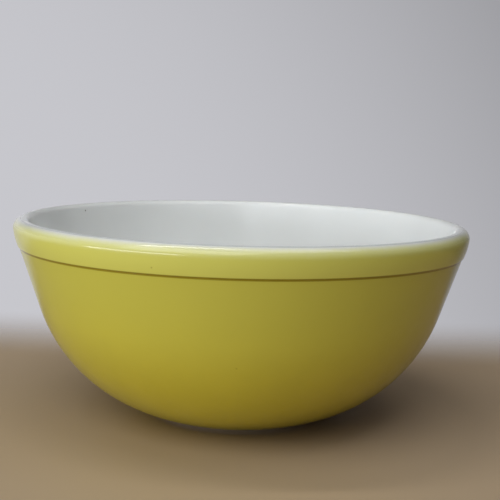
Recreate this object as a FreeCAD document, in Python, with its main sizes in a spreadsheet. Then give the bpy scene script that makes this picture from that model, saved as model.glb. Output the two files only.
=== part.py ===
import FreeCAD, Part
import math
import os

import Sketcher

# A pressed opal-glass mixing bowl with a fired-on colour coat, in millimetres.
# Z is up along the bowl's axis and the origin is the middle of the foot, on the table.
# Every profile is drawn in the XZ plane, where sketch x is the radius and sketch y the height,
# and is turned about Z. The sketches are drawn near their true shape; the dimensions in the
# sheet and the tangencies between neighbours set the exact one.

DIMENSIONS = [
    ("rim_diameter", 265.0, "over the enamel at the widest part of the lip"),
    ("bowl_height", 115.5, "table to crest of the lip"),
    ("lip_outer_radius", 5.6, "outside rounding of the lip, over the enamel"),
    ("lip_inner_radius", 3.5, "inside rounding of the lip"),
    ("band_height", 15.8, "crest of the lip to the underside of the rim band"),
    ("band_bow_radius", 35.0, "arc of the rim band's face, over the enamel"),
    ("band_foot_radius", 129.4, "axis to the centre of the band's lower edge rounding"),
    ("band_edge_radius", 0.5, "rounding of the band's lower edge, in glass"),
    ("ledge_width", 0.29, "flat part of the ledge under the band"),
    ("wall_lean", 18.5, "degrees that the outer wall leans from upright"),
    ("side_radius", 96.0, "arc from wall to belly, over the enamel"),
    ("belly_radius", 165.0, "arc of the belly, centred on the axis, over the enamel"),
    ("belly_sink", 6.1, "how far under the table the belly's circle would reach"),
    ("heel_radius", 3.0, "rounding where the belly meets the foot"),
    ("foot_inner_radius", 39.5, "inside edge of the flat contact ring"),
    ("recess_depth", 1.2, "hollow of the base inside the contact ring"),
    ("inner_wall_lean", 14.0, "degrees that the inner wall leans from upright"),
    ("inner_side_radius", 75.0, "arc from inner wall to floor"),
    ("floor_radius", 280.0, "arc of the floor, centred on the axis"),
    ("floor_height", 5.5, "table to the lowest point of the floor"),
    ("enamel_thickness", 0.25, "stand-in thickness of the fired-on colour"),
    ("enamel_top_angle", 35.0, "degrees above level where the enamel starts on the lip"),
    ("enamel_end_radius", 50.0, "radius at which the enamel stops above the foot"),
    ("mould_ring_radius", 27.0, "raised ring pressed into the base"),
    ("mould_ring_section", 0.5, "radius of that ring's half-round section"),
    ("pip_circle_radius", 20.0, "circle of small pressed pips"),
    ("pip_radius", 0.6, "radius of one pip"),
    ("pip_height", 0.35, "how far a pip stands down from the recess"),
    ("pip_count", 12, "pips round the circle"),
    ("cut_margin", 5.0, "how far a cutting profile runs past the glass"),
]

START, END, CENTRE = 1, 2, 3
ORIGIN = (-1, 1)
V_AXIS = -2


def make_sheet(doc):
    """The driving dimensions, one row each: meaning, value and alias."""
    sheet = doc.addObject("Spreadsheet::Sheet", "Dimensions")
    for row, (alias, value, meaning) in enumerate(DIMENSIONS, start=1):
        sheet.set(f"A{row}", meaning)
        sheet.set(f"B{row}", str(value))
        sheet.setAlias(f"B{row}", alias)
    doc.recompute()
    return sheet


def new_body(doc, label):
    body = doc.addObject("PartDesign::Body", label)
    body.Label = label
    body.Placement = FreeCAD.Placement()
    return body


def new_sketch(body, name, role):
    """A sketch on one of the body's own origin planes."""
    plane = next(p for p in body.Origin.OriginFeatures if p.Role == role)
    sketch = body.newObject("Sketcher::SketchObject", name)
    sketch.AttachmentSupport = [(plane, "")]
    sketch.MapMode = "FlatFace"
    return sketch


def point(x, y):
    return FreeCAD.Vector(x, y, 0)


def add_line(sketch, start, end):
    return sketch.addGeometry(Part.LineSegment(point(*start), point(*end)), False)


def add_arc(sketch, centre, radius, from_degrees, to_degrees):
    """A circular arc drawn anticlockwise between two directions from its centre."""
    circle = Part.Circle(point(*centre), FreeCAD.Vector(0, 0, 1), radius)
    turn = (math.radians(from_degrees), math.radians(to_degrees))
    return sketch.addGeometry(Part.ArcOfCircle(circle, *turn), False)


def relate(sketch, kind, *places):
    sketch.addConstraint(Sketcher.Constraint(kind, *places))


def join(sketch, *pairs):
    """Makes each pair of ends, given as (curve, end, curve, end), meet in one point."""
    for pair in pairs:
        relate(sketch, "Coincident", *pair)


def blend(sketch, *pairs):
    """Makes each pair of ends meet with a common tangent."""
    for pair in pairs:
        relate(sketch, "Tangent", *pair)


def drawn_size(sketch, kind, places):
    """The size of a dimension as it is drawn, which the sheet then replaces."""
    if kind == "Radius":
        return sketch.Geometry[places[0]].Radius
    if kind == "Distance":
        return sketch.Geometry[places[0]].length()
    if kind == "Angle":
        line = sketch.Geometry[places[0]]
        span = line.EndPoint - line.StartPoint
        return math.atan2(span.y, span.x)
    start = sketch.getPoint(*places[:2])
    end = sketch.getPoint(*places[2:])
    return end.x - start.x if kind == "DistanceX" else end.y - start.y


def measure(sketch, name, formula, kind, *places):
    """A dimension of the sketch that follows a formula in the sheet's aliases."""
    size = drawn_size(sketch, kind, places)
    index = sketch.addConstraint(Sketcher.Constraint(kind, *places, size))
    sketch.renameConstraint(index, name)
    sketch.setExpression(f"Constraints.{name}", formula)


def turn_about_axis(body, kind, name, sketch):
    """A Revolution or Groove of the sketch through a full turn about the bowl's axis."""
    feature = body.newObject(f"PartDesign::{kind}", name)
    feature.Profile = (sketch, [""])
    feature.ReferenceAxis = (sketch, ["V_Axis"])
    feature.Angle = 360.0
    return feature


def cut_volume(doc, body, feature_before):
    """Recomputes, and makes sure that the newest feature took glass away."""
    before = feature_before.Shape.Volume
    doc.recompute()
    removed = before - body.Shape.Volume
    if removed <= 1.0:
        raise RuntimeError(f"{body.Tip.Label} removed {removed:.1f} cubic mm")
    return removed


def draw_glass_face(sketch):
    """The outer face of the glass, from the belly up to the lip: five arcs, two straights.

    Returns the curves by name. Each arc's START is its lower end. The caller closes the
    profile, and says where the belly's lower end and the lip's upper end are.
    """
    curve = {
        "belly": add_arc(sketch, (0, 158.9), 164.75, -74.0, -67.4),
        "side": add_arc(sketch, (26.6, 95.2), 95.75, -67.4, -18.5),
        "wall": add_line(sketch, (117.4, 64.8), (129.1, 99.95)),
        "ledge": add_line(sketch, (129.1, 99.95), (129.4, 99.95)),
        "band_edge": add_arc(sketch, (129.4, 100.45), 0.5, -90.0, -22.1),
        "band": add_arc(sketch, (97.7, 113.4), 34.75, -22.1, -6.3),
        "lip": add_arc(sketch, (126.9, 110.15), 5.35, -6.3, 60.0),
    }
    blend(
        sketch,
        (curve["belly"], END, curve["side"], START),
        (curve["side"], END, curve["wall"], START),
        (curve["ledge"], END, curve["band_edge"], START),
        (curve["band_edge"], END, curve["band"], START),
        (curve["band"], END, curve["lip"], START),
    )
    join(sketch, (curve["wall"], END, curve["ledge"], START))
    relate(sketch, "Horizontal", curve["ledge"])
    relate(sketch, "PointOnObject", curve["belly"], CENTRE, V_AXIS)
    enamel = "Dimensions.enamel_thickness"
    for name, alias in (("belly", "belly_radius"), ("side", "side_radius"), ("lip", "lip_outer_radius")):
        measure(sketch, f"{name}_size", f"Dimensions.{alias} - {enamel}", "Radius", curve[name])
    measure(sketch, "band_size", f"Dimensions.band_bow_radius - {enamel}", "Radius", curve["band"])
    measure(sketch, "edge_size", "Dimensions.band_edge_radius", "Radius", curve["band_edge"])
    measure(
        sketch,
        "band_foot",
        "Dimensions.band_foot_radius",
        "DistanceX",
        *ORIGIN,
        curve["band_edge"],
        CENTRE,
    )
    measure(
        sketch,
        "belly_centre",
        "Dimensions.belly_radius - Dimensions.belly_sink",
        "DistanceY",
        *ORIGIN,
        curve["belly"],
        CENTRE,
    )
    upright = "(90 - Dimensions.wall_lean) * 1 deg"
    measure(sketch, "wall_angle", upright, "Angle", curve["wall"])
    measure(
        sketch,
        "ledge_level",
        f"Dimensions.bowl_height - Dimensions.band_height + {enamel}",
        "DistanceY",
        *ORIGIN,
        curve["ledge"],
        END,
    )
    measure(sketch, "ledge_length", "Dimensions.ledge_width", "Distance", curve["ledge"])
    measure(
        sketch,
        "lip_centre_x",
        "Dimensions.rim_diameter / 2 - Dimensions.lip_outer_radius",
        "DistanceX",
        *ORIGIN,
        curve["lip"],
        CENTRE,
    )
    measure(
        sketch,
        "lip_centre_y",
        f"Dimensions.bowl_height - Dimensions.lip_outer_radius + {enamel}",
        "DistanceY",
        *ORIGIN,
        curve["lip"],
        CENTRE,
    )
    return curve


def outer_form(body):
    """The blank: the outside of the glass, solid to the axis, with a flat top at the crest."""
    sketch = new_sketch(body, "OuterFormSketch", "XZ_Plane")
    curve = draw_glass_face(sketch)
    heel = add_arc(sketch, (43.1, 3.0), 3.0, -90.0, -74.6)
    contact = add_line(sketch, (0, 0), (43.1, 0))
    axis = add_line(sketch, (0, 115.5), (0, 0))
    top = add_line(sketch, (126.9, 115.5), (0, 115.5))
    blend(
        sketch,
        (heel, END, curve["belly"], START),
        (contact, END, heel, START),
        (curve["lip"], END, top, START),
    )
    join(
        sketch,
        (axis, END, contact, START),
        (top, END, axis, START),
        (contact, START, *ORIGIN),
    )
    relate(sketch, "Horizontal", contact)
    relate(sketch, "Horizontal", top)
    relate(sketch, "Vertical", axis)
    measure(sketch, "heel_size", "Dimensions.heel_radius", "Radius", heel)
    return turn_about_axis(body, "Revolution", "OuterForm", sketch)


def hollow(body):
    """The inside of the bowl: rounded lip, leaning wall, wide arc, nearly flat floor."""
    sketch = new_sketch(body, "HollowSketch", "XZ_Plane")
    axis = add_line(sketch, (0, 5.5), (0, 120.5))
    over = add_line(sketch, (0, 120.5), (126.9, 120.5))
    down = add_line(sketch, (126.9, 120.5), (126.9, 115.5))
    lip = add_arc(sketch, (126.9, 112.0), 3.5, 90.0, 166.0)
    wall = add_line(sketch, (123.5, 112.8), (112.0, 66.0))
    side = add_arc(sketch, (39.2, 84.0), 75.0, -79.0, -14.0)
    floor = add_arc(sketch, (0, 285.5), 280.0, -90.0, -79.0)
    join(
        sketch,
        (axis, END, over, START),
        (over, END, down, START),
        (down, END, lip, START),
        (floor, START, axis, START),
    )
    blend(
        sketch,
        (lip, END, wall, START),
        (wall, END, side, END),
        (side, START, floor, END),
    )
    relate(sketch, "PointOnObject", axis, START, V_AXIS)
    relate(sketch, "Vertical", axis)
    relate(sketch, "Horizontal", over)
    relate(sketch, "Vertical", down)
    relate(sketch, "PointOnObject", floor, CENTRE, V_AXIS)
    relate(sketch, "Vertical", lip, CENTRE, lip, START)
    measure(sketch, "floor_level", "Dimensions.floor_height", "DistanceY", *ORIGIN, floor, START)
    measure(sketch, "floor_size", "Dimensions.floor_radius", "Radius", floor)
    measure(sketch, "side_size", "Dimensions.inner_side_radius", "Radius", side)
    measure(sketch, "lip_size", "Dimensions.lip_inner_radius", "Radius", lip)
    leaning = "(270 - Dimensions.inner_wall_lean) * 1 deg"
    measure(sketch, "wall_angle", leaning, "Angle", wall)
    crest_radius = "Dimensions.rim_diameter / 2 - Dimensions.lip_outer_radius"
    measure(sketch, "crest_radius", crest_radius, "DistanceX", *ORIGIN, down, END)
    measure(sketch, "crest_level", "Dimensions.bowl_height", "DistanceY", *ORIGIN, down, END)
    measure(sketch, "overshoot", "Dimensions.cut_margin", "Distance", down)
    return turn_about_axis(body, "Groove", "Hollow", sketch)


def base_recess(body):
    """The shallow hollow inside the contact ring, with a quarter-round edge."""
    sketch = new_sketch(body, "BaseRecessSketch", "XZ_Plane")
    ceiling = add_line(sketch, (0, 1.2), (38.3, 1.2))
    edge = add_arc(sketch, (38.3, 0), 1.2, 0.0, 90.0)
    down = add_line(sketch, (39.5, 0), (39.5, -5.0))
    under = add_line(sketch, (39.5, -5.0), (0, -5.0))
    axis = add_line(sketch, (0, -5.0), (0, 1.2))
    join(
        sketch,
        (down, END, under, START),
        (under, END, axis, START),
        (axis, END, ceiling, START),
    )
    blend(sketch, (ceiling, END, edge, END), (edge, START, down, START))
    relate(sketch, "Horizontal", ceiling)
    relate(sketch, "Vertical", down)
    relate(sketch, "Horizontal", under)
    relate(sketch, "PointOnObject", axis, START, V_AXIS)
    relate(sketch, "Vertical", axis)
    foot_inside = "Dimensions.foot_inner_radius"
    measure(sketch, "foot_inside", foot_inside, "DistanceX", *ORIGIN, down, START)
    measure(sketch, "depth", "Dimensions.recess_depth", "DistanceY", *ORIGIN, ceiling, START)
    measure(sketch, "edge_size", "Dimensions.recess_depth", "Radius", edge)
    measure(sketch, "overshoot", "Dimensions.cut_margin", "Distance", down)
    return turn_about_axis(body, "Groove", "BaseRecess", sketch)


def mould_ring(body):
    """A plain raised ring pressed into the base, half-round in section."""
    sketch = new_sketch(body, "MouldRingSketch", "XZ_Plane")
    section = add_arc(sketch, (27.0, 1.2), 0.5, 180.0, 360.0)
    back = add_line(sketch, (27.5, 1.2), (26.5, 1.2))
    join(sketch, (section, END, back, START), (back, END, section, START))
    relate(sketch, "Horizontal", back)
    relate(sketch, "PointOnObject", section, CENTRE, back)
    measure(sketch, "size", "Dimensions.mould_ring_section", "Radius", section)
    ring_radius = "Dimensions.mould_ring_radius"
    measure(sketch, "ring_radius", ring_radius, "DistanceX", *ORIGIN, section, CENTRE)
    measure(sketch, "level", "Dimensions.recess_depth", "DistanceY", *ORIGIN, section, CENTRE)
    return turn_about_axis(body, "Revolution", "MouldRing", sketch)


def pips(body):
    """A circle of small round pips that stand down from the recess."""
    sketch = new_sketch(body, "PipSketch", "XY_Plane")
    sketch.setExpression("AttachmentOffset.Base.z", "Dimensions.recess_depth")
    rim = Part.Circle(point(20.0, 0), FreeCAD.Vector(0, 0, 1), 0.6)
    pip = sketch.addGeometry(rim, False)
    relate(sketch, "PointOnObject", pip, CENTRE, -1)
    measure(sketch, "size", "Dimensions.pip_radius", "Radius", pip)
    pip_circle = "Dimensions.pip_circle_radius"
    measure(sketch, "circle_radius", pip_circle, "DistanceX", *ORIGIN, pip, CENTRE)
    pad = body.newObject("PartDesign::Pad", "Pip")
    pad.Profile = (sketch, [""])
    pad.Reversed = True
    pad.setExpression("Length", "Dimensions.pip_height")
    pattern = body.newObject("PartDesign::PolarPattern", "Pips")
    pattern.Originals = [pad]
    pattern.Axis = (sketch, ["N_Axis"])
    pattern.Angle = 360.0
    pattern.setExpression("Occurrences", "Dimensions.pip_count")
    body.Tip = pattern
    return pattern


def make_glass(doc):
    """The pressed white opal-glass bowl, one solid with its lip, rim band and foot."""
    body = new_body(doc, "opal_glass_bowl")
    blank = outer_form(body)
    doc.recompute()
    inside = hollow(body)
    cut_volume(doc, body, blank)
    base_recess(body)
    cut_volume(doc, body, inside)
    mould_ring(body)
    pips(body)
    doc.recompute()
    return body


def make_enamel(doc):
    """The fired-on colour: a skin of even thickness on the outside of the glass.

    Its inner face is the glass's own outer face. Each arc of its outer face has the centre
    of the arc beneath it, so the skin keeps its thickness round the band and the belly.
    """
    body = new_body(doc, "enamel_coat")
    sketch = new_sketch(body, "EnamelSketch", "XZ_Plane")
    inner = draw_glass_face(sketch)
    outer = {
        "belly": add_arc(sketch, (0, 158.9), 165.0, -72.3, -67.4),
        "side": add_arc(sketch, (26.6, 95.2), 96.0, -67.4, -18.5),
        "wall": add_line(sketch, (117.6, 64.8), (129.3, 99.7)),
        "ledge": add_line(sketch, (129.3, 99.7), (129.4, 99.7)),
        "band_edge": add_arc(sketch, (129.4, 100.45), 0.75, -90.0, -22.1),
        "band": add_arc(sketch, (97.7, 113.4), 35.0, -22.1, -6.3),
        "lip": add_arc(sketch, (126.9, 110.15), 5.6, -6.3, 35.0),
    }
    blend(
        sketch,
        (outer["belly"], END, outer["side"], START),
        (outer["side"], END, outer["wall"], START),
        (outer["ledge"], END, outer["band_edge"], START),
        (outer["band_edge"], END, outer["band"], START),
        (outer["band"], END, outer["lip"], START),
    )
    join(sketch, (outer["wall"], END, outer["ledge"], START))
    for name in ("belly", "side", "band_edge", "lip"):
        join(sketch, (inner[name], CENTRE, outer[name], CENTRE))
    thickness = "Dimensions.enamel_thickness"
    measure(sketch, "outer_side_size", "Dimensions.side_radius", "Radius", outer["side"])
    measure(sketch, "outer_band_size", "Dimensions.band_bow_radius", "Radius", outer["band"])
    measure(sketch, "outer_lip_size", "Dimensions.lip_outer_radius", "Radius", outer["lip"])
    outer_edge = f"Dimensions.band_edge_radius + {thickness}"
    measure(sketch, "outer_edge_size", outer_edge, "Radius", outer["band_edge"])
    relate(sketch, "Parallel", inner["wall"], outer["wall"])
    relate(sketch, "Horizontal", outer["ledge"])
    top = add_line(sketch, (131.3, 113.2), (131.5, 113.4))
    bottom = add_line(sketch, (50.0, 1.9), (49.9, 1.7))
    join(
        sketch,
        (inner["lip"], END, top, START),
        (top, END, outer["lip"], END),
        (inner["belly"], START, bottom, START),
        (bottom, END, outer["belly"], START),
    )
    relate(sketch, "PointOnObject", inner["lip"], CENTRE, top)
    relate(sketch, "PointOnObject", inner["belly"], CENTRE, bottom)
    measure(sketch, "top_angle", "Dimensions.enamel_top_angle * 1 deg", "Angle", top)
    measure(
        sketch,
        "end_radius",
        "Dimensions.enamel_end_radius",
        "DistanceX",
        *ORIGIN,
        inner["belly"],
        START,
    )
    turn_about_axis(body, "Revolution", "Enamel", sketch)
    doc.recompute()
    return body


def check(doc, bodies):
    """Stops the build if any feature failed or a sub-part isn't one sound solid."""
    for item in doc.Objects:
        if "Invalid" in item.State or "Error" in item.State:
            raise RuntimeError(f"{item.Label} failed: {item.State}")
    for sketch in doc.findObjects("Sketcher::SketchObject"):
        if sketch.solve() != 0 or not sketch.FullyConstrained:
            raise RuntimeError(f"{sketch.Label} isn't fully constrained")
    for body in bodies:
        shape = body.Shape
        if shape.isNull() or not shape.isValid() or len(shape.Solids) != 1:
            raise RuntimeError(f"{body.Label} isn't one valid solid")


def main():
    os.makedirs("parts", exist_ok=True)
    doc = FreeCAD.newDocument("mixing_bowl")
    make_sheet(doc)
    bodies = [make_glass(doc), make_enamel(doc)]
    doc.recompute()
    check(doc, bodies)
    for body in bodies:
        box = body.Shape.optimalBoundingBox()
        print(f"{body.Label}: {body.Shape.Volume / 1000:.1f} cubic cm, ", end="")
        print(f"radius {box.XMax:.2f}, z {box.ZMin:.2f} to {box.ZMax:.2f}")
        body.Shape.exportStep(f"parts/{body.Label}.step")


main()
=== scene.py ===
import math

import bmesh
import bpy
from mathutils import Matrix, Vector, noise


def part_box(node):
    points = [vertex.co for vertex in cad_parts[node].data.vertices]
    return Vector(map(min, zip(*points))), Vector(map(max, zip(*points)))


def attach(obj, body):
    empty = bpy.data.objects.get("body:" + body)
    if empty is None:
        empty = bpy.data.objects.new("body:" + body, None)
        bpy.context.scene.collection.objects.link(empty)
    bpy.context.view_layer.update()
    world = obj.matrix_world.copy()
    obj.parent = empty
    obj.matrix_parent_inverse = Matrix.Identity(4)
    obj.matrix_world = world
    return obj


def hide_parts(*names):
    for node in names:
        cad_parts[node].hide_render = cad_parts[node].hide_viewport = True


# A pressed opal-glass mixing bowl with a yellow enamel fired on outside.
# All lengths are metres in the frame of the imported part: Z up, origin under the foot's middle.

MM = 0.001

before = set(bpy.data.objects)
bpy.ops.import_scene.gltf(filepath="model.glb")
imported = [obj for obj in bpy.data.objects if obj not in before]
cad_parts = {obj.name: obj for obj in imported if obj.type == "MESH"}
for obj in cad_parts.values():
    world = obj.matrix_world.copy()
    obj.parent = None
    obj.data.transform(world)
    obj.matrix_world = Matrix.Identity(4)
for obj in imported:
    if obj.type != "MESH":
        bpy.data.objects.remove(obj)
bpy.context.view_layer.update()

# ---------------------------------------------------------------- sizes
# Leans are in degrees from upright, and angles on the lip in degrees above level. Each
# THINNEST is the share of the enamel's thickness that is left at that edge.

enamel_low, enamel_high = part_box("enamel_coat")
glass_low, glass_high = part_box("opal_glass_bowl")
RIM_RADIUS = min(enamel_high.x, enamel_high.y)
HEIGHT = glass_high.z

ENAMEL = 0.25 * MM
LIP_OUTER = 5.6 * MM
LIP_INNER = 3.5 * MM
CREST_RADIUS = RIM_RADIUS - LIP_OUTER
BAND_HEIGHT = 15.8 * MM
BAND_BOW = 35.0 * MM
BAND_FOOT = 129.4 * MM
BAND_EDGE = 0.5 * MM
LEDGE = 0.29 * MM
CREASE = 0.18 * MM
WALL_LEAN = 18.5
SIDE_RADIUS = 96.0 * MM
BELLY_RADIUS = 165.0 * MM
BELLY_SINK = 6.1 * MM
HEEL_RADIUS = 3.0 * MM
FOOT_INNER = 39.5 * MM
RECESS_DEPTH = 1.2 * MM
INNER_LEAN = 14.0
INNER_SIDE = 75.0 * MM
FLOOR_RADIUS = 280.0 * MM
FLOOR_HEIGHT = 5.5 * MM
MOULD_RING = 27.0 * MM
MOULD_BEAD = 0.5 * MM
PIP_CIRCLE = 20.0 * MM
PIP_RADIUS = 0.6 * MM
PIP_HEIGHT = 0.35 * MM
PIP_COUNT = 12
PIP_SINK = 0.1 * MM

LEDGE_HEIGHT = HEIGHT - BAND_HEIGHT
ENAMEL_TOP_ANGLE = 80.0
ENAMEL_END_RADIUS = 50.0 * MM
ENAMEL_SINK = 0.03 * MM
FEATHER_LENGTH = 7.0 * MM
FEATHER_THINNEST = 0.06
BARE_EDGE = 0.6 * MM
BARE_EDGE_THINNEST = 0.2

INNER_WAVE = 0.05 * MM
OUTER_WAVE = 0.07 * MM
LONG_WAVE = 45.0 * MM
SHORT_WAVE = 14.0 * MM
CALM_FOOT = 3.0 * MM

SEGMENTS = 384
WALL_START = 0.4 * MM

# ---------------------------------------------------------------- outlines


class Outline:
    """A chain of straights and arcs in the radius-height plane, walked like a pen.

    Each kept point is (radius, height, heading). Headings are in degrees: 0 points away
    from the axis and 90 points up.
    """

    def __init__(self, radius, height, heading):
        self.at = Vector((radius, height))
        self.heading = heading
        self.points = [(radius, height, heading)]

    def keep(self):
        self.points.append((self.at.x, self.at.y, self.heading))

    def run(self, length, spacing=1.4 * MM):
        """A straight in the present heading."""
        pieces = max(1, round(length / spacing))
        turn = math.radians(self.heading)
        step = Vector((math.cos(turn), math.sin(turn))) * (length / pieces)
        for _ in range(pieces):
            self.at = self.at + step
            self.keep()
        return self

    def bend(self, radius, degrees, spacing=1.4 * MM, finest=5.0):
        """An arc that turns left by so many degrees, or right where they are negative."""
        arc = abs(math.radians(degrees)) * radius
        pieces = max(2, math.ceil(arc / spacing), math.ceil(abs(degrees) / finest))
        side = math.copysign(1.0, degrees)
        for _ in range(pieces):
            here = math.radians(self.heading)
            centre = self.at + Vector((-math.sin(here), math.cos(here))) * radius * side
            self.heading += degrees / pieces
            there = math.radians(self.heading)
            self.at = centre - Vector((-math.sin(there), math.cos(there))) * radius * side
            self.keep()
        return self


def wall_then_side(corner, lean, side_radius, belly_radius, belly_centre):
    """How far the wall runs straight down from its corner, and how far the side arc turns.

    The side arc starts along the wall and ends along the belly's circle, which is centred
    on the axis, so its own centre lies side_radius inside both.
    """
    turn = math.radians(lean)
    outward = Vector((math.cos(turn), -math.sin(turn)))
    down = Vector((-math.sin(turn), -math.cos(turn)))
    start = corner - outward * side_radius - Vector((0.0, belly_centre))
    reach = belly_radius - side_radius
    along = start.dot(down)
    length = -along - math.sqrt(along**2 - start.length_squared + reach**2)
    if length < 0:
        length = -along + math.sqrt(along**2 - start.length_squared + reach**2)
    centre = start + down * length
    end_lean = math.degrees(math.atan2(-centre.y, centre.x))
    return length, end_lean - lean


def band_leans(lip_centre, lip, foot_centre):
    """The band's lean from upright at its top and its bottom, in degrees.

    The band's arc holds the lip's circle and the lower edge's circle inside it, touching both.
    """
    bow = BAND_BOW - ENAMEL
    apart = foot_centre - lip_centre
    to_lip, to_foot = bow - lip, bow - BAND_EDGE
    along = (to_lip**2 - to_foot**2 + apart.length_squared) / (2 * apart.length)
    across = math.sqrt(to_lip**2 - along**2)
    down = apart.normalized()
    centre = lip_centre + down * along + Vector((down.y, -down.x)) * across
    return [
        math.degrees(math.atan2(centre.y - end.y, end.x - centre.x))
        for end in (lip_centre, foot_centre)
    ]


def outer_face():
    """The glass's outer face, from the crest of the lip to the middle of the base."""
    lip = LIP_OUTER - ENAMEL
    side = SIDE_RADIUS - ENAMEL
    belly = BELLY_RADIUS - ENAMEL
    belly_centre = BELLY_RADIUS - BELLY_SINK
    ledge = LEDGE_HEIGHT + ENAMEL

    lip_centre = Vector((CREST_RADIUS, HEIGHT - lip))
    foot_centre = Vector((BAND_FOOT, ledge + BAND_EDGE))
    top_lean, bottom_lean = band_leans(lip_centre, lip, foot_centre)
    line = Outline(CREST_RADIUS, HEIGHT, 0.0)
    line.bend(lip, -(90.0 + top_lean), spacing=0.5 * MM)
    line.bend(BAND_BOW - ENAMEL, -(bottom_lean - top_lean), spacing=0.8 * MM, finest=2.0)
    line.bend(BAND_EDGE, -(90.0 - bottom_lean), spacing=0.1 * MM)
    corner = Vector((BAND_FOOT - LEDGE, ledge))
    fillet = CREASE * math.tan(math.radians(90.0 - WALL_LEAN) / 2)
    line.run(LEDGE - fillet, 0.1 * MM)
    line.bend(CREASE, 90.0 - WALL_LEAN, spacing=0.05 * MM, finest=12.0)

    length, turn = wall_then_side(corner, WALL_LEAN, side, belly, belly_centre)
    line.run(WALL_START, 0.2 * MM)
    line.run(length - fillet - WALL_START)
    line.bend(side, -turn)

    heel_x = math.sqrt((belly - HEEL_RADIUS) ** 2 - (belly_centre - HEEL_RADIUS) ** 2)
    heel_lean = math.degrees(math.atan2(belly_centre - HEEL_RADIUS, heel_x))
    line.bend(belly, -(heel_lean - WALL_LEAN - turn))
    line.bend(HEEL_RADIUS, -(90.0 - heel_lean), spacing=0.2 * MM)

    base = Outline(line.at.x, 0.0, 180.0)
    base.run(line.at.x - FOOT_INNER, 1.0 * MM)
    base.heading = 90.0
    base.bend(RECESS_DEPTH, 90.0, spacing=0.2 * MM)
    inner_edge = MOULD_RING + MOULD_BEAD
    base.run(base.at.x - inner_edge, 2.0 * MM)
    base.heading = 270.0
    base.bend(MOULD_BEAD, -180.0, spacing=0.12 * MM)
    base.heading = 180.0
    base.run(base.at.x, 2.0 * MM)
    return line.points, base.points[1:]


def inner_face():
    """The inside of the bowl, from the crest of the lip to the middle of the floor."""
    line = Outline(CREST_RADIUS, HEIGHT, 180.0)
    line.bend(LIP_INNER, 90.0 - INNER_LEAN, spacing=0.4 * MM)
    floor_centre = FLOOR_HEIGHT + FLOOR_RADIUS
    length, turn = wall_then_side(
        line.at.copy(), INNER_LEAN, INNER_SIDE, FLOOR_RADIUS, floor_centre
    )
    line.run(length)
    line.bend(INNER_SIDE, -turn)
    line.bend(FLOOR_RADIUS, -(90.0 - INNER_LEAN - turn), spacing=2.0 * MM)
    return line.points


# ---------------------------------------------------------------- meshes


def ripple(place, height, size):
    """A slow wave in the surface, from 0 to -height, that repeats about every size."""
    return -height * (0.5 + 0.5 * noise.noise(place / size))


def turned(name, outline, closed, ripples=None):
    """Turns an outline about Z. Each outline point is (radius, height, normal's angle).

    ripples gives, for each outline point, how deep the surface's slow waves are there.
    """
    mesh = bmesh.new()
    rings = []
    for index, (radius, height, normal) in enumerate(outline):
        depth = ripples[index] if ripples else 0.0
        face_out = math.radians(normal)
        if radius < 1e-6:
            rings.append([mesh.verts.new((0.0, 0.0, height))])
            continue
        ring = []
        for step in range(SEGMENTS):
            turn = 2.0 * math.pi * step / SEGMENTS
            place = Vector((radius * math.cos(turn), radius * math.sin(turn), height))
            if depth:
                dent = ripple(place, depth, LONG_WAVE) + ripple(place, depth / 4, SHORT_WAVE)
                level = math.cos(face_out)
                out = Vector((level * math.cos(turn), level * math.sin(turn), math.sin(face_out)))
                place = place + out * dent
            ring.append(mesh.verts.new(place))
        rings.append(ring)
    pairs = list(zip(rings, rings[1:]))
    if closed:
        pairs.append((rings[-1], rings[0]))
    for upper, lower in pairs:
        for step in range(SEGMENTS):
            after = (step + 1) % SEGMENTS
            if len(upper) == 1:
                mesh.faces.new((upper[0], lower[step], lower[after]))
            elif len(lower) == 1:
                mesh.faces.new((upper[after], upper[step], lower[0]))
            else:
                mesh.faces.new((upper[after], upper[step], lower[step], lower[after]))
    bmesh.ops.recalc_face_normals(mesh, faces=mesh.faces)
    data = bpy.data.meshes.new(name)
    mesh.to_mesh(data)
    mesh.free()
    for face in data.polygons:
        face.use_smooth = True
    thing = bpy.data.objects.new(name, data)
    bpy.context.scene.collection.objects.link(thing)
    return thing


def smooth_step(value):
    """0 up to 0, 1 from 1 on, and a smooth rise between."""
    value = min(1.0, max(0.0, value))
    return value * value * (3.0 - 2.0 * value)


def add_pips(glass):
    """Small flat-domed pips round the base recess, each a closed shell sunk in the glass."""
    mesh = bmesh.new()
    mesh.from_mesh(glass.data)
    for number in range(PIP_COUNT):
        turn = 2.0 * math.pi * number / PIP_COUNT
        place = Matrix.Translation(
            (PIP_CIRCLE * math.cos(turn), PIP_CIRCLE * math.sin(turn), RECESS_DEPTH + PIP_SINK)
        )
        flat = Matrix.Diagonal((PIP_RADIUS, PIP_RADIUS, PIP_HEIGHT + PIP_SINK, 1.0))
        bmesh.ops.create_icosphere(mesh, subdivisions=3, radius=1.0, matrix=place @ flat)
    mesh.to_mesh(glass.data)
    mesh.free()
    for face in glass.data.polygons:
        face.use_smooth = True


def make_glass():
    """The pressed white glass, one closed skin from the floor over the lip to the base."""
    inner = [(r, z, heading - 90.0) for r, z, heading in inner_face()]
    outer, base = outer_face()
    outer = [(r, z, heading + 90.0) for r, z, heading in outer]
    base = [(r, z, heading + 90.0) for r, z, heading in base]
    outline = inner[::-1] + outer[1:] + base
    outline[0] = (0.0, outline[0][1], outline[0][2])
    outline[-1] = (0.0, outline[-1][1], outline[-1][2])
    depths = [INNER_WAVE] * len(inner) + [OUTER_WAVE] * (len(outer) - 1) + [0.0] * len(base)
    depths = [d * smooth_step(z / CALM_FOOT - 0.1) for d, (_, z, _) in zip(depths, outline)]
    glass = turned("glass_body", outline, closed=False, ripples=depths)
    add_pips(glass)
    return glass


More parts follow.
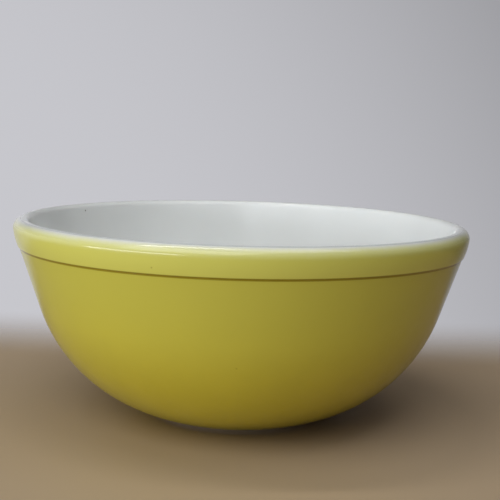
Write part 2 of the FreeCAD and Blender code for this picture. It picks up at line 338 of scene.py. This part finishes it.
def make_enamel():
    """The colour coat: follows the glass, fades to nothing on the lip, ends above the foot."""
    outer, _ = outer_face()
    covered = [
        (r, z, heading + 90.0)
        for r, z, heading in outer
        if heading + 90.0 <= ENAMEL_TOP_ANGLE and r >= ENAMEL_END_RADIUS
    ]
    gone = [0.0]
    for (r0, z0, _), (r1, z1, _) in zip(covered, covered[1:]):
        gone.append(gone[-1] + math.hypot(r1 - r0, z1 - z0))
    skin, back, depths = [], [], []
    for (r, z, normal), length in zip(covered, gone):
        top = smooth_step(length / FEATHER_LENGTH)
        bottom = smooth_step((gone[-1] - length) / BARE_EDGE)
        top_share = FEATHER_THINNEST + (1.0 - FEATHER_THINNEST) * top
        bottom_share = BARE_EDGE_THINNEST + (1.0 - BARE_EDGE_THINNEST) * bottom
        thick = ENAMEL * min(top_share, bottom_share)
        out = Vector((math.cos(math.radians(normal)), math.sin(math.radians(normal))))
        skin.append((r + out.x * thick, z + out.y * thick, normal))
        back.append((r - out.x * ENAMEL_SINK, z - out.y * ENAMEL_SINK, normal))
        depths.append(OUTER_WAVE)
    outline = skin + back[::-1]
    return turned("enamel_skin", outline, closed=True, ripples=depths + depths[::-1])


# ---------------------------------------------------------------- materials


class Nodes:
    """Short names for making and linking shader nodes."""

    def __init__(self, name):
        self.material = bpy.data.materials.new(name)
        self.material.use_nodes = True
        self.tree = self.material.node_tree
        self.shader = self.tree.nodes["Principled BSDF"]

    def add(self, kind, inputs=None, **settings):
        node = self.tree.nodes.new("ShaderNode" + kind)
        for key, value in settings.items():
            setattr(node, key, value)
        for key, value in (inputs or {}).items():
            if isinstance(value, bpy.types.NodeSocket):
                self.tree.links.new(value, node.inputs[key])
            else:
                node.inputs[key].default_value = value
        return node

    def math(self, operation, first, second=None):
        values = {0: first}
        if second is not None:
            values[1] = second
        return self.add("Math", values, operation=operation).outputs[0]

    def ramp(self, value, low, high, out_low=0.0, out_high=1.0):
        """A smooth step of value from low to high."""
        inputs = {"Value": value, 1: low, 2: high, 3: out_low, 4: out_high}
        return self.add("MapRange", inputs, interpolation_type="SMOOTHSTEP").outputs[0]

    def mix(self, amount, first, second):
        node = self.add("Mix", {0: amount}, data_type="RGBA")
        for slot, value in ((6, first), (7, second)):
            if isinstance(value, bpy.types.NodeSocket):
                self.tree.links.new(value, node.inputs[slot])
            else:
                node.inputs[slot].default_value = (*value, 1.0)
        return node.outputs[2]

    def noise(self, place, scale, detail=2.0, roughness=0.5):
        inputs = {"Vector": place, "Scale": scale, "Detail": detail, "Roughness": roughness}
        return self.add("TexNoise", inputs).outputs[0]

    def set(self, **sockets):
        """Links or sets the shader's sockets; Base_Color stands for Base Color."""
        for key, value in sockets.items():
            socket = self.shader.inputs[key.replace("_", " ")]
            if isinstance(value, bpy.types.NodeSocket):
                self.tree.links.new(value, socket)
            else:
                socket.default_value = value

    def place(self):
        return self.add("TexCoord").outputs["Object"]

    def lip_angle(self, place):
        """Degrees above level, seen from the centre of the lip's outside rounding."""
        parts = self.add("SeparateXYZ", {0: place}).outputs
        squares = [self.math("POWER", part, 2.0) for part in (parts[0], parts[1])]
        radius = self.math("SQRT", self.math("ADD", *squares))
        across = self.math("SUBTRACT", radius, CREST_RADIUS)
        up = self.math("SUBTRACT", parts[2], HEIGHT - LIP_OUTER + ENAMEL)
        return self.math("MULTIPLY", self.math("ARCTAN2", up, across), 180.0 / math.pi)


OPAL = (0.895, 0.915, 0.91)
SPECK = (0.12, 0.115, 0.105)
# YELLOW low on the bowl and YELLOW_HIGH above carry painted shade: warmer and darker low down.
YELLOW = (0.67, 0.57, 0.036)
YELLOW_HIGH = (0.685, 0.645, 0.085)
YELLOW_BAND = (0.78, 0.765, 0.145)
# Painted shade for the crease under the band, and also the colour of the small pits.
YELLOW_SHADE_AND_PIT = (0.38, 0.30, 0.006)
YELLOW_THIN = (0.78, 0.78, 0.38)

# Small marks: degrees right of the front, and height.
INSIDE_SPECK = (-123.5, 111.3 * MM)
PITS = [(-19.0, 103.5 * MM), (-0.4, 52.3 * MM)]
PIT_RADIUS = 0.7 * MM


def on_face(outline, turn, height):
    """The point of a face at a height, so many degrees right of the front."""
    for (r0, z0, _), (r1, z1, _) in zip(outline, outline[1:]):
        if z1 <= height < z0:
            radius = r0 + (r1 - r0) * (height - z0) / (z1 - z0)
            turn = math.radians(turn)
            return radius * math.sin(turn), -radius * math.cos(turn), height
    raise ValueError(f"the face doesn't reach {height}")


def spot(nodes, place, centre, strength):
    """A small round mark, as a number from strength at its centre to 0 outside it."""
    away = nodes.add("VectorMath", {0: place, 1: centre}, operation="DISTANCE")
    return nodes.ramp(away.outputs["Value"], PIT_RADIUS, 0.4 * PIT_RADIUS, 0.0, strength)


def opal_material():
    """White opal glass: dense and slightly milky, glossy, with faint greys from use."""
    m = Nodes("opal_glass_finish")
    place = m.place()
    cloud = m.noise(place, scale=18.0, detail=3.0)
    tone = m.mix(m.ramp(cloud, 0.35, 0.65), OPAL, tuple(c * 0.97 for c in OPAL))
    speck = spot(m, place, on_face(inner_face(), *INSIDE_SPECK), 0.9)
    tone = m.mix(speck, tone, SPECK)
    rub = m.noise(place, scale=70.0, detail=4.0, roughness=0.65)
    roughness = m.ramp(rub, 0.4, 0.8, 0.13, 0.21)
    grain = m.noise(place, scale=900.0)
    bump = m.add("Bump", {"Height": grain, "Strength": 0.02, "Distance": 0.2 * MM})
    m.set(Base_Color=tone, Roughness=roughness, Normal=bump.outputs[0])
    m.set(IOR=1.5, Subsurface_Weight=0.35, Subsurface_Scale=0.004)
    m.set(Subsurface_Radius=(1.0, 0.95, 0.9))
    return m.material


def sprayed_edge(m, place):
    """The lip angle with the spray's slow drift and fine grain added to it."""
    drift = m.math("SUBTRACT", m.noise(place, scale=45.0), 0.5)
    spray = m.math("SUBTRACT", m.noise(place, scale=420.0, detail=3.0, roughness=0.7), 0.5)
    drifted = m.math("ADD", m.lip_angle(place), m.math("MULTIPLY", drift, 16.0))
    return m.math("ADD", drifted, m.math("MULTIPLY", spray, 14.0))


def wall_colour(m, place, height):
    """Warmer, darker yellow low on the bowl and greener yellow above, which is painted shade and
    warm bounce light; paler on the rim band.
    """
    mottle = m.noise(place, scale=26.0, detail=4.0, roughness=0.6)
    low = m.mix(m.ramp(mottle, 0.3, 0.7), YELLOW, tuple(c * 0.94 for c in YELLOW))
    # Painted shade: the wall turns from greener yellow above to warmer, darker yellow low on the
    # bowl.
    wall = m.mix(m.ramp(height, 0.2 * HEIGHT, LEDGE_HEIGHT), low, YELLOW_HIGH)
    band = m.ramp(height, LEDGE_HEIGHT - 0.2 * MM, LEDGE_HEIGHT + 0.6 * MM)
    return m.mix(band, wall, YELLOW_BAND)


def enamel_colour(m, place, edge, thick):
    """White to thin to full yellow down the lip, a painted line of shade under the band, and the
    pits.
    """
    height = m.add("SeparateXYZ", {0: place}).outputs[2]
    thin = m.mix(m.ramp(edge, 78.0, 26.0), OPAL, YELLOW_THIN)
    colour = m.mix(thick, thin, wall_colour(m, place, height))
    # Painted shade: a dark line along the crease under the band's lower edge.
    above = m.ramp(height, LEDGE_HEIGHT + 0.75 * MM, LEDGE_HEIGHT + 0.35 * MM)
    below = m.ramp(height, LEDGE_HEIGHT - 1.15 * MM, LEDGE_HEIGHT - 0.6 * MM)
    colour = m.mix(m.math("MULTIPLY", above, below), colour, YELLOW_SHADE_AND_PIT)
    for turn, level in PITS:
        pit = spot(m, place, on_face(outer_face()[0], turn, level), 0.45)
        colour = m.mix(pit, colour, YELLOW_SHADE_AND_PIT)
    return colour


def enamel_material():
    """Lemon yellow glass colour, thin and pale where it fades out on the lip."""
    m = Nodes("yellow_enamel_finish")
    place = m.place()
    edge = sprayed_edge(m, place)
    thick = m.ramp(edge, 44.0, -20.0)
    rub = m.noise(place, scale=60.0, detail=4.0, roughness=0.65)
    dull = m.ramp(rub, 0.35, 0.8, 0.42, 0.55)
    roughness = m.math("MULTIPLY", dull, m.ramp(thick, 0.0, 0.8, 0.4, 1.0))
    peel = m.noise(place, scale=650.0)
    waves = m.ramp(thick, 0.0, 1.0, 0.01, 0.05)
    bump = m.add("Bump", {"Height": peel, "Strength": waves, "Distance": 0.25 * MM})
    m.set(Base_Color=enamel_colour(m, place, edge, thick))
    m.set(Roughness=roughness, Normal=bump.outputs[0], IOR=1.52)
    m.set(Specular_IOR_Level=0.2)
    m.set(Coat_Weight=0.8, Coat_Roughness=0.12, Coat_IOR=1.5, Coat_Normal=bump.outputs[0])
    return m.material


# ---------------------------------------------------------------- the bowl

glass = make_glass()
glass.data.materials.append(opal_material())
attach(glass, "root")
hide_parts("opal_glass_bowl")

enamel = make_enamel()
enamel.data.materials.append(enamel_material())
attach(enamel, "root")
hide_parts("enamel_coat")

# ---------------------------------------------------------------- floor, light and camera

STUDIO_FLOOR = (0.455, 0.34, 0.225)
STUDIO_FLOOR_LIGHT = (0.475, 0.36, 0.24)

# Where the floor starts and ends its fade: metres behind the axis, and metres from it.
FADE_BEHIND = (0.12, 0.3)
FADE_AWAY = (1.2, 3.2)

# The backdrop lies in one direction. EDGE says how nearly a line of sight has to point that
# way for the backdrop to start and to be full, and TOP how high the line may rise.
BACKDROP = (0.57, 0.57, 0.605)
BACKDROP_SIDE = (-0.6, 0.8, -0.4)
BACKDROP_EDGE = (0.18, 0.95)
BACKDROP_TOP = (0.34, 0.1)
ROOM_SHADE = (0.055, 0.055, 0.058)

# Turns in degrees: down, to the right, and anticlockwise as the photographer sees it.
CAMERA_PLACE = (0.0, -0.630, 0.1792)
CAMERA_PITCH = 7.43
CAMERA_YAW = 0.47
CAMERA_ROLL = 1.61
CAMERA_LENS = 77.0


def floor_material():
    """A plain pale floor that turns into the backdrop behind the bowl and far from it."""
    m = Nodes("floor_finish")
    place = m.place()
    tone = m.mix(m.noise(place, scale=3.0), STUDIO_FLOOR, STUDIO_FLOOR_LIGHT)
    m.set(Base_Color=tone, Roughness=0.6)
    behind = m.ramp(m.add("SeparateXYZ", {0: place}).outputs[1], *FADE_BEHIND)
    away = m.add("VectorMath", {0: place}, operation="LENGTH").outputs["Value"]
    clear = m.add("BsdfTransparent")
    fade = m.add("MixShader", {0: m.math("MAXIMUM", behind, m.ramp(away, *FADE_AWAY))})
    m.tree.links.new(m.shader.outputs[0], fade.inputs[1])
    m.tree.links.new(clear.outputs[0], fade.inputs[2])
    m.tree.links.new(fade.outputs[0], m.tree.nodes["Material Output"].inputs[0])
    return m.material


def make_floor():
    """A flat disc as wide as the floor's fade."""
    mesh = bmesh.new()
    bmesh.ops.create_circle(mesh, cap_ends=True, radius=FADE_AWAY[1], segments=96)
    data = bpy.data.meshes.new("floor")
    mesh.to_mesh(data)
    mesh.free()
    floor = bpy.data.objects.new("floor", data)
    bpy.context.scene.collection.objects.link(floor)
    floor.data.materials.append(floor_material())


def make_area_light(name, place, width, height, watts, colour):
    """A soft rectangular light that faces the bowl."""
    data = bpy.data.lights.new(name, "AREA")
    data.shape = "RECTANGLE"
    data.size = width
    data.size_y = height
    data.energy = watts
    data.color = colour
    lamp = bpy.data.objects.new(name, data)
    lamp.location = place
    towards = Vector((0.0, 0.0, HEIGHT / 2)) - Vector(place)
    lamp.rotation_mode = "QUATERNION"
    lamp.rotation_quaternion = towards.to_track_quat("-Z", "Y")
    bpy.context.scene.collection.objects.link(lamp)


def place_of(turn, rise, distance):
    """A point by its turn from the front, to the right, and its rise, both in degrees."""
    turn, rise = math.radians(turn), math.radians(rise)
    level = math.cos(rise) * distance
    return math.sin(turn) * level, -math.cos(turn) * level, math.sin(rise) * distance


def make_world():
    """A plain pale studio: a light backdrop behind and to the left, a dim room elsewhere."""
    world = bpy.data.worlds.new("studio")
    bpy.context.scene.world = world
    world.use_nodes = True
    tree = world.node_tree
    direction = tree.nodes.new("ShaderNodeTexCoord")
    towards_backdrop = tree.nodes.new("ShaderNodeVectorMath")
    towards_backdrop.operation = "DOT_PRODUCT"
    towards_backdrop.inputs[1].default_value = BACKDROP_SIDE
    across = tree.nodes.new("ShaderNodeMapRange")
    across.interpolation_type = "SMOOTHSTEP"
    across.inputs["From Min"].default_value = BACKDROP_EDGE[0]
    across.inputs["From Max"].default_value = BACKDROP_EDGE[1]
    parts = tree.nodes.new("ShaderNodeSeparateXYZ")
    below_top = tree.nodes.new("ShaderNodeMapRange")
    below_top.interpolation_type = "SMOOTHSTEP"
    below_top.inputs["From Min"].default_value = BACKDROP_TOP[0]
    below_top.inputs["From Max"].default_value = BACKDROP_TOP[1]
    amount = tree.nodes.new("ShaderNodeMath")
    amount.operation = "MULTIPLY"
    blend = tree.nodes.new("ShaderNodeMix")
    blend.data_type = "RGBA"
    blend.inputs[6].default_value = (*ROOM_SHADE, 1.0)
    blend.inputs[7].default_value = (*BACKDROP, 1.0)
    tree.links.new(direction.outputs["Generated"], towards_backdrop.inputs[0])
    tree.links.new(towards_backdrop.outputs["Value"], across.inputs["Value"])
    tree.links.new(direction.outputs["Generated"], parts.inputs[0])
    tree.links.new(parts.outputs["Z"], below_top.inputs["Value"])
    tree.links.new(across.outputs["Result"], amount.inputs[0])
    tree.links.new(below_top.outputs["Result"], amount.inputs[1])
    tree.links.new(amount.outputs[0], blend.inputs[0])
    tree.links.new(blend.outputs[2], tree.nodes["Background"].inputs["Color"])


def make_camera():
    """The photograph's viewpoint: close, a little above the rim, and tilted a little."""
    data = bpy.data.cameras.new("camera")
    data.sensor_width = 36.0
    data.lens = CAMERA_LENS
    data.clip_start = 0.01
    camera = bpy.data.objects.new("camera", data)
    bpy.context.scene.collection.objects.link(camera)
    pitch, yaw = math.radians(CAMERA_PITCH), math.radians(CAMERA_YAW)
    roll = math.radians(CAMERA_ROLL)
    forward = Vector(
        (math.sin(yaw) * math.cos(pitch), math.cos(yaw) * math.cos(pitch), -math.sin(pitch))
    )
    right = forward.cross(Vector((0.0, 0.0, 1.0))).normalized()
    up = right.cross(forward)
    tilted_right = right * math.cos(roll) + up * math.sin(roll)
    tilted_up = up * math.cos(roll) - right * math.sin(roll)
    turn = Matrix((tilted_right, tilted_up, -forward)).transposed()
    camera.matrix_world = Matrix.Translation(CAMERA_PLACE) @ turn.to_4x4()
    bpy.context.scene.camera = camera


make_floor()
make_world()
make_area_light(
    "window",
    place_of(turn=-52.0, rise=4.2, distance=4.0),
    width=3.8,
    height=0.5,
    watts=55.0,
    colour=(0.94, 0.97, 1.0),
)
make_area_light(
    "softbox",
    place_of(turn=-30.0, rise=45.0, distance=1.9),
    width=1.9,
    height=1.2,
    watts=15.3,
    colour=(0.98, 1.0, 1.0),
)
make_area_light(
    "ceiling",
    place_of(turn=50.0, rise=72.0, distance=1.7),
    width=1.2,
    height=0.9,
    watts=5.2,
    colour=(1.0, 0.99, 0.97),
)
make_area_light(
    "lamp",
    (-0.33, -0.04, 1.36),
    width=0.09,
    height=0.7,
    watts=2.9,
    colour=(1.0, 0.98, 0.93),
)
make_camera()
bpy.context.scene.view_settings.view_transform = "Standard"
